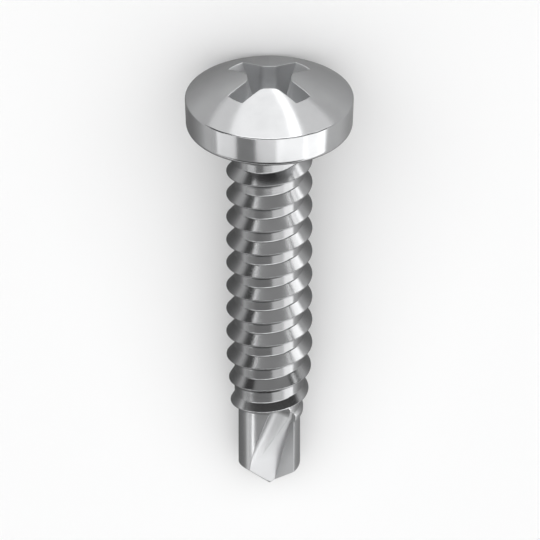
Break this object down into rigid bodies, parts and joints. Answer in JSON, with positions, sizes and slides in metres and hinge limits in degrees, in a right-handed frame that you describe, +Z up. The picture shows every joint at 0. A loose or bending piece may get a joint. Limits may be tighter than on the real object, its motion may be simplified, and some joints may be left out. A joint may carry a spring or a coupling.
{
  "type": "self drilling screw",
  "caption": "Self-drilling tapping screw with a pan head, a cross recess and a fluted drill point, for fixing sheet metal to thin steel.",
  "frame": {"origin": "middle of the base of the screw's box, on the surface that the screw lies on", "axes": "+Y along the lying screw towards its head, +Z up; the screw's own axis falls 8.1 degrees towards the point"},
  "size_m": [0.008, 0.0222, 0.008],
  "materials": {
    "zinc_plated_steel": "bright electroplated zinc on case-hardened steel"
  },
  "bodies": {
    "root": {"self_drilling_screw": "zinc_plated_steel"}
  },
  "joints": []
}
